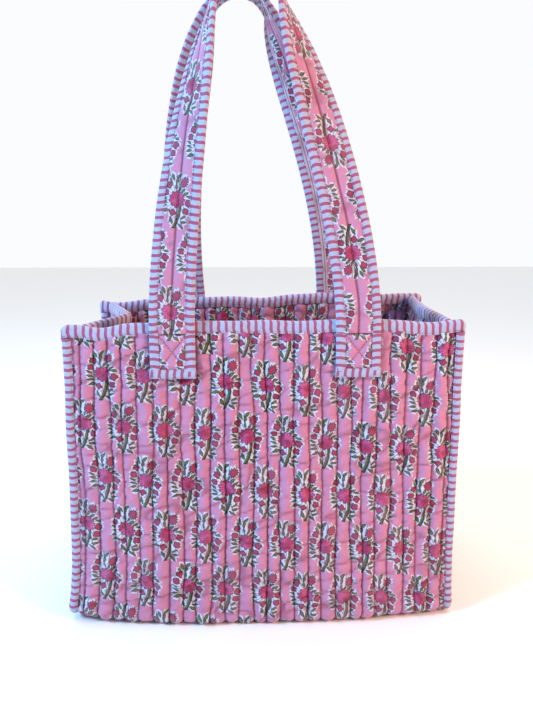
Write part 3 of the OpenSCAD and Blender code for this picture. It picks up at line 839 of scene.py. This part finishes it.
def tape_parts(line, out, edge, kind, seed, start=0.0, round_ends=0.0):
    """A tape folded over an edge, as a closed tube. line runs along the fold, edge points out past it."""
    width, half, puff, pleat = kind
    ring = tape_ring(width, half, puff)
    inward, rise = ring[None, :, 0], ring[None, :, 1]
    at = lengths(line)
    wobble = 1 + 0.10 * noise(at / 0.011, 0.0, seed) + 0.05 * noise(at / 0.004, 3.0, seed)
    reach = 1 + 0.05 * noise(at / 0.02, 7.0, seed)
    if round_ends:
        close = np.clip(1 - np.minimum(at, at[-1] - at) / round_ends, 0, 1)
        wobble = wobble * np.sqrt(1.05 - close**2)
        line = line - edge * (2.0 * MM * (1 - np.sqrt(1 - close**2)))[:, None]
        reach = reach * (1 - 0.16 * close**2)
    across = -edge[:, None] * (inward * reach[:, None])[..., None]
    over = out[:, None] * (rise * wobble[:, None])[..., None]
    crease = pleat * noise(at[:, None] / 0.006, inward / 0.006 + np.sign(rise), seed + 5)
    crease = crease * np.sin(np.pi * np.clip(inward / width, 0, 1))
    over = over + out[:, None] * (crease * np.sign(rise))[..., None]
    rings = on_floor(line[:, None] + across + over)
    cloth = np.stack(np.broadcast_arrays((at + start)[:, None], lengths(ring)[None, :]), -1)
    n, m = rings.shape[:2]
    ends = [list(range(m)), [(n - 1) * m + j for j in range(m - 1, -1, -1)]]
    return rings.reshape(-1, 3), [*grid_faces(n, m, wrap=True)[:, ::-1], *ends], cloth.reshape(-1, 2)


def show_tape(name, parts, lines, body, node):
    tape = show(join_parts(name, parts), TAPE, body, node)
    length = sum(float(lengths(line)[-1]) for line in lines)


def edge_stitches(line, out, edge, kind, inset, sunk=0.0):
    """Stitches near the lips of a folded tape, on both its faces."""
    width, half = kind[:2]
    lots = []
    for side in (1, -1):
        path = line - edge * (width - inset) + out * side * (half - sunk + 0.25 * MM)
        lots += stitch_parts(path, out * side, EDGE_STITCH)
    return lots


def steady(v, n):
    return np.tile(np.array(v, float), (n, 1))


def seam_line(sign):
    """The fold of a side seam's tape, from the front rim under the side to the back rim."""
    top = WRAP_HALF - RIM_DEPTH
    s = np.linspace(-top, top, 420)
    u = np.full_like(s, sign * (HALF_W + 0.5 * MM))
    line = wrap(u, s)
    ahead = unit(np.gradient(line, axis=0))
    # The seam allowance stands out a little further low down, where the sides are drawn in.
    edge = unit(steady((sign, 0, 0), len(s)) - ahead * ahead[:, :1] * sign)
    out = unit(np.cross(ahead, edge)) * -sign
    return line, out, edge


for side_name, sign in (("left", -1), ("right", 1)):
    fold = seam_line(sign)
    name, parts = side_name + "_seam", [tape_parts(*fold, SEAM_TAPE, 600 + sign)]
    show_tape(name + "_tape", parts, fold[:1], "bag", name + "_binding")
    lots = edge_stitches(*fold, SEAM_TAPE, 1.4 * MM)
    show(join_parts(name + "_stitches", lots), QUILT_THREAD, "bag")


def fold_out(line, edge, axis, way):
    """The direction across a fold and out of the bag, which points along the axis with way's sign."""
    out = unit(np.cross(unit(np.gradient(line, axis=0)), edge))
    return out * np.sign(out[:, axis, None] * way)


def panel_rim(side):
    """The fold of the rim's tape on the front (side -1) or back panel. Its ends turn down a little."""
    u = np.linspace(-HALF_W - 1.0 * MM, HALF_W + 1.0 * MM, 300)
    s = side * (WRAP_HALF + 0.8 * MM)
    line = wrap(u, s)
    edge = unit(line - wrap(u, s - side * 12 * MM))
    to_end = HALF_W + 1.0 * MM - np.abs(u)
    line[:, 2] -= 3.0 * MM * np.exp(-((to_end / (3 * MM)) ** 2))
    return line, fold_out(line, edge, Y, side), edge


def side_rim(sign):
    """The fold of the rim's tape on a side panel."""
    line = side_panel(sign)(np.linspace(-0.985, 0.985, 160), RIM_Z - BASE_Z - 0.5 * MM)
    edge = steady((0, 0, 1), len(line))
    return line, fold_out(line, edge, X, sign), edge


parts, lots = [], []
rims = (panel_rim(-1), panel_rim(1), side_rim(-1), side_rim(1))
for k, fold in enumerate(rims):
    parts.append(tape_parts(*fold, RIM_TAPE, 620 + k, start=k * 0.5, round_ends=7 * MM))
    lots += edge_stitches(*fold, RIM_TAPE, 2.0 * MM)
show_tape("rim_tape", parts, [fold[0] for fold in rims], "bag", "rim_binding")
show(join_parts("rim_stitches", lots), QUILT_THREAD, "bag")

# ----- straps -----

STRAP_HALF = STRAP_W / 2 - EDGE_TAPE + 2.5 * MM  # half the print's width, with what the tape hides
ARCH_SLOPE = math.radians(20)  # where the grip's arch starts, from level
LEG_RINGS, ARCH_RINGS = 90, 36
LEG_SHARE = np.linspace(0, 1, LEG_RINGS) ** 1.35  # closest together at the hinge, where the strap bends
LEAN = math.atan((HALF_BASE - HALF_MOUTH) / RIM_Z)
UP = np.array([0, math.sin(LEAN), math.cos(LEAN)])
# How far a strap's left leg bows out, how far up the bow lies, and how soon the left and right
# legs start to turn towards the grip.
FRONT_STRAP = (0.0, 0.35, (1.5, 2.4))
BACK_STRAP = (16 * MM, 0.5, (2.4, 2.4))


def grip_arch(grip_x, angle):
    """Points over the grip, at angles from its left end."""
    z = GRIP_Z + GRIP_R * np.sin(angle)
    return np.stack([grip_x - GRIP_R * np.cos(angle), np.full_like(angle, GRIP["front_grip"].y), z], -1)


def leg_line(strap, grip_x, side):
    """A leg of a strap, from the top of its sewn end to the start of the grip's arch."""
    bow, bow_rise, _ = strap
    t = LEG_SHARE[:, None]
    hinge = HINGE["front_handle"]
    start = np.array([side * STRAP_X, hinge.y + STRAP_BACK, hinge.z])
    rise = GRIP_Z - start[2]
    finish = grip_arch(grip_x, np.array([ARCH_SLOPE if side < 0 else math.pi - ARCH_SLOPE]))[0]
    out = np.array([-bow if side < 0 else 0.0, 0, 0])
    over = np.array([side * math.sin(ARCH_SLOPE), 0, -math.cos(ARCH_SLOPE)])
    a, b, c, d = start, start + UP * rise * bow_rise + out, finish + over * rise * 0.18, finish
    return (1 - t) ** 3 * a + 3 * (1 - t) ** 2 * t * b + 3 * (1 - t) * t * t * c + t**3 * d


def strap_frames(strap, grip_x):
    """Middle line of a strap on the front of the bag, with its out and across directions."""
    angle = np.linspace(ARCH_SLOPE, math.pi - ARCH_SLOPE, ARCH_RINGS)[1:-1]
    left, right = leg_line(strap, grip_x, -1), leg_line(strap, grip_x, 1)[::-1]
    line = np.concatenate([left, grip_arch(grip_x, angle), right])
    ahead = unit(np.gradient(line, axis=0))
    ahead[0], ahead[-1] = UP, -UP
    soon_left, soon_right = strap[2]
    turn = np.concatenate([LEG_SHARE**soon_left, np.ones(len(angle)), LEG_SHARE[::-1] ** soon_right])
    turn = np.radians(90) * turn[:, None]
    front_way = unit(np.array([0, -1.0, 0]) + ahead[:, 1:2] * ahead)
    out = front_way * np.cos(turn) + np.cross(front_way, ahead) * np.sin(turn)
    return line, out, np.cross(ahead, out)


def strap_crease(a, along, seed):
    """1 along the thin creases across a strap, and 0 between them."""
    return 1 - np.clip(np.abs(noise(along / 0.013 + a / 0.04, a / 0.03, seed + 9)) / 0.22, 0, 1)


def strap_height(a, along, seed):
    """Height of a strap's face over its middle: two soft ridges beside the stitches down its middle."""
    phase = np.where(np.abs(a) < 1e-9, 1, np.abs(np.abs(a) / STRAP_HALF * 2 - 1))
    swell = 1 + 0.25 * noise(along / 0.022, np.sign(a) * 2, seed)
    dent = 0.35 * noise(along / 0.007, a / 0.007, seed + 1) + 0.50 * noise(along / 0.016, a / 0.012, seed + 2)
    dent = dent - 0.45 * strap_crease(a, along, seed)
    return 1.4 * MM + 1.5 * MM * (1 - phase**2.2) * swell + dent * MM * (1 - phase**6)


def strap_wave(along, seed):
    """How far the stitches down a strap's middle stray to its side."""
    return 0.7 * MM * noise(along / 0.03, 0.0, seed + 3)


def strap_face(name, line, out, across, outside, seed):
    """One printed face of a strap."""
    a = np.linspace(-1, 1, 17)[None] * STRAP_HALF
    at = lengths(line)[:, None]
    height = strap_height(a, at, seed) * (1 if outside else -1)
    wave = a + strap_wave(at, seed) * (1 - np.abs(a) / STRAP_HALF)
    points = line[:, None] + across[:, None] * wave[..., None] + out[:, None] * height[..., None]
    cloth = np.stack(np.broadcast_arrays(a, at), -1)
    # Painted shade, kept in the 'seam' attribute: darker down the middle row of stitches and along the
    # creases.
    seam = np.maximum(np.where(np.abs(a) < 1e-9, 1.0, 0.0), 0.45 * strap_crease(a, at, seed))
    o = grid_object(name, points, cloth, seam)
    facing = out[len(line) // 4]
    turn_to(o, facing if outside else -facing, len(o.data.polygons) // 4)
    return thicken(o)


def middle_stitches(line, out, across, seed):
    """The row of stitches down the middle of a strap, on both faces."""
    wave = strap_wave(lengths(line), seed)
    lots = []
    for way in (1, -1):
        path = line + across * wave[:, None] + out * way * 1.5 * MM
        lots += stitch_parts(path, out * way, MIDDLE_STITCH)
    return lots


def strap_pad(name, line, out, across):
    """The wadding inside a strap, thin at its ends, where the strap bends."""
    a = np.linspace(-1, 1, 9) * (STRAP_W / 2 - 2.5 * MM)
    at = lengths(line)
    height = 0.55 * MM + 0.15 * MM * (1 - (np.abs(a) / a[-1]) ** 3)
    thin = 0.15 + 0.85 * ramp(np.minimum(at, at[-1] - at), 14 * MM, 30 * MM)
    middle = line[:, None] + across[:, None] * a[None, :, None]
    up = out[:, None] * (height[None] * thin[:, None])[..., None]
    cloth = np.stack(np.broadcast_arrays(a[None], at[:, None]), -1)
    return shell_object(name, middle + up, middle - up, cloth)


def mirrored(points, side):
    """The front strap's points or directions for the front (side -1) or the back strap."""
    return points * (1.0, -side, 1.0)


def loose_strap(prefix, side, strap):
    """The five pieces of a strap's loose loop."""
    body = prefix + "_handle"
    frames = strap_frames(strap, GRIP[prefix + "_grip"].x)
    line, out, across = (mirrored(v, side) for v in frames)
    seed = 700 + side
    flat = (2 * STRAP_HALF, float(lengths(line)[-1]))
    name = prefix + "_strap"
    for part, look, node in (("_face", PRINT, "_print"), ("_inner_face", STRAP_LINING, "_backing")):
        face = strap_face(name + part, line, out, across, look is PRINT, seed)
        show(face, look, body, name + node)
    pad = show(strap_pad(name + "_pad", line, out, across), WADDING, body, name + "_wadding")
    parts, folds, lots = [], [], middle_stitches(line, out, across, seed)
    for way in (-1, 1):
        edge = across * way
        fold = line + edge * STRAP_W / 2, out, edge
        folds.append(fold[0])
        parts.append(tape_parts(*fold, STRAP_TAPE, seed + way))
        lots += edge_stitches(*fold, STRAP_TAPE, 1.0 * MM, 0.2 * MM)
    show_tape(name + "_tape", parts, folds, body, name + "_binding")
    show(join_parts(name + "_stitches", lots), QUILT_THREAD, body)


loose_strap("front", -1, FRONT_STRAP)
loose_strap("back", 1, BACK_STRAP)

# ----- sewn ends of the straps -----

BOX_H = END_TOP - END_LOW
BOX_HALF = STRAP_W / 2 - EDGE_TAPE + 0.4 * MM
BOX_LOW, BOX_HIGH = -BOX_H + EDGE_TAPE - 0.4 * MM, -1.0 * MM


def end_height(across, up, seed):
    """Height of a sewn end's face, pressed down along the box and the cross of thread."""
    middle, half_h = (BOX_LOW + BOX_HIGH) / 2, (BOX_HIGH - BOX_LOW) / 2
    x, z = across / BOX_HALF, (up - middle) / half_h
    to_cross = np.abs(np.abs(x) - np.abs(z)) * BOX_HALF * 0.75
    to_box = np.minimum(np.abs(1 - np.abs(x)) * BOX_HALF, np.abs(1 - np.abs(z)) * half_h)
    near = np.minimum(to_cross, to_box)
    inside = ramp(np.minimum(1 - np.abs(x), 1 - np.abs(z)), -0.02, 0.10)
    bulge = (1 - np.exp(-((near / (2.6 * MM)) ** 2))) * inside
    dent = 0.3 * MM * noise(across / 0.008, up / 0.008, seed)
    return 1.3 * MM + 0.5 * MM * inside + (2.2 * MM + dent) * bulge


def end_edges():
    """The edges that a sewn end's tape is folded over: down the left, down the right, and across the foot."""
    half, foot = STRAP_W / 2, -BOX_H
    down, along = np.linspace(0, foot + 0.8 * MM, 22), np.linspace(-half - 0.3 * MM, half + 0.3 * MM, 24)
    for way in (-1, 1):
        yield np.stack([np.full_like(down, way * half), down], -1), (way, 0), END_TAPE
    yield np.stack([along, np.full_like(along, foot)], -1), (0, -1), FOOT_TAPE


def sewn_end(prefix, where, x, side):
    """The three pieces of a strap's end, sewn down on its panel."""
    hinge = HINGE["front_handle"]
    top = mirrored(np.array([x, hinge.y + STRAP_BACK, hinge.z]), side)
    up = mirrored(UP, side)
    out = mirrored(np.array([0, -math.cos(LEAN), math.sin(LEAN)]), side)
    right_way = np.array([1.0, 0, 0])
    name, seed = f"{prefix}_{where}", 800 + int(x * 100) + side

    def on_end(flat_x, flat_z, height):
        flat_x, flat_z, height = (v[..., None] for v in (flat_x, flat_z, height))
        return top + right_way * flat_x + up * flat_z + out * height

    a = np.linspace(-STRAP_HALF, STRAP_HALF, 29)[:, None]
    z = np.linspace(0, -BOX_H + 3 * MM, 41)[None]
    points = on_end(*np.broadcast_arrays(a, z, end_height(a, z, seed)))
    cloth = np.stack(np.broadcast_arrays(a, z), -1)
    o = grid_object(name + "_end_face", points, cloth, np.zeros(points.shape[:2]))
    turn_to(o, out, 0)
    show(thicken(o), PRINT, "bag", name + "_strap_end")

    tapes, folds = [], []
    for path, (edge_x, edge_z), kind in end_edges():
        line = on_end(path[:, 0], path[:, 1], np.zeros(len(path)))
        edge = steady(right_way * edge_x + up * edge_z, len(line))
        outs = steady(out, len(line))
        folds.append(line)
        tapes.append(tape_parts(line, outs, edge, kind, seed))
    show_tape(name + "_end_tape", tapes, folds, "bag", name + "_end_binding")

    box = [(-BOX_HALF, BOX_HIGH), (-BOX_HALF, BOX_LOW), (BOX_HALF, BOX_LOW), (BOX_HALF, BOX_HIGH)]
    lines = [*zip(box, box[1:] + box[:1]), (box[0], box[2]), (box[1], box[3])]
    lots = []
    for (x0, z0), (x1, z1) in lines:
        share = np.linspace(0, 1, 30)
        flat_x, flat_z = x0 + share * (x1 - x0), z0 + share * (z1 - z0)
        on_line = on_end(flat_x, flat_z, end_height(flat_x, flat_z, seed) + 0.1 * MM)
        lots += stitch_parts(on_line, steady(out, 30), BOX_STITCH)
    show(join_parts(name + "_box_stitches", lots), BOX_THREAD, "bag", name + "_box_stitch")


for prefix, side in (("front", -1), ("back", 1)):
    sewn_end(prefix, "left", -STRAP_X, side)
    sewn_end(prefix, "right", STRAP_X, side)

# ----- stage -----


def stage():
    """A pale floor, a white surround and soft light."""
    bpy.ops.mesh.primitive_plane_add(size=12, location=(0, 0, -0.4 * MM))
    floor = bpy.context.object
    floor.name = "floor"
    paint = Shader("floor")
    paint.put(paint.surface.inputs["Base Color"], (0.9, 0.9, 0.9, 1))
    paint.put(paint.surface.inputs["Roughness"], 0.9)
    floor.data.materials.append(paint.material)
    world = bpy.data.worlds.new("studio")
    bpy.context.scene.world = world
    world.use_nodes = True
    nodes, links = world.node_tree.nodes, world.node_tree.links
    # The wall behind the bag is brighter than the room in front of it, and the ceiling the brightest.
    direction = nodes.new("ShaderNodeTexCoord")
    axes = nodes.new("ShaderNodeSeparateXYZ")
    links.new(direction.outputs["Generated"], axes.inputs[0])
    bright = nodes.new("ShaderNodeMath")
    bright.operation = "MULTIPLY"
    for k, (axis, limits) in enumerate((("Y", (-0.3, 0.6, 0.20, 0.99)), ("Z", (0.45, 0.95, 1.0, 2.6)))):
        share = nodes.new("ShaderNodeMapRange")
        for socket, value in zip(share.inputs[1:5], limits):
            socket.default_value = value
        links.new(axes.outputs[axis], share.inputs[0])
        links.new(share.outputs[0], bright.inputs[k])
    links.new(bright.outputs[0], nodes["Background"].inputs["Strength"])
    nodes["Background"].inputs["Color"].default_value = (0.97, 0.98, 1.0, 1)


def aimed(data, place, look):
    """A light or camera at a place, looking along a direction."""
    o = bpy.data.objects.new(data.name, data)
    o.location = place
    o.rotation_euler = look.to_track_quat("-Z", "Y").to_euler()
    bpy.context.scene.collection.objects.link(o)
    return o


def area_light(name, place, target, size, power, colour):
    """A round soft light that faces its target."""
    data = bpy.data.lights.new(name, "AREA")
    data.shape = "DISK"
    data.size = size
    data.energy = power
    data.color = colour
    aimed(data, place, Vector(target) - Vector(place))


def camera():
    """The view from a little left of the middle and 7 cm above the rim, tilted down."""
    data = bpy.data.cameras.new("camera")
    data.lens = 27.0
    pitch, yaw = 0.225, 0.034
    look = Vector((math.sin(yaw) * math.cos(pitch), math.cos(yaw) * math.cos(pitch), -math.sin(pitch)))
    bpy.context.scene.camera = aimed(data, (-0.017, -0.596, 0.402), look)


stage()
camera()
area_light("key", (-1.4, -0.62, 1.25), (0, 0, 0.25), 0.40, 37, (0.33, 0.68, 1.0))
area_light("warm", (1.15, -0.70, 0.9), (0.1, 0, 0.3), 0.50, 19, (1.0, 0.54, 0.28))
bpy.context.scene.view_settings.view_transform = "Standard"
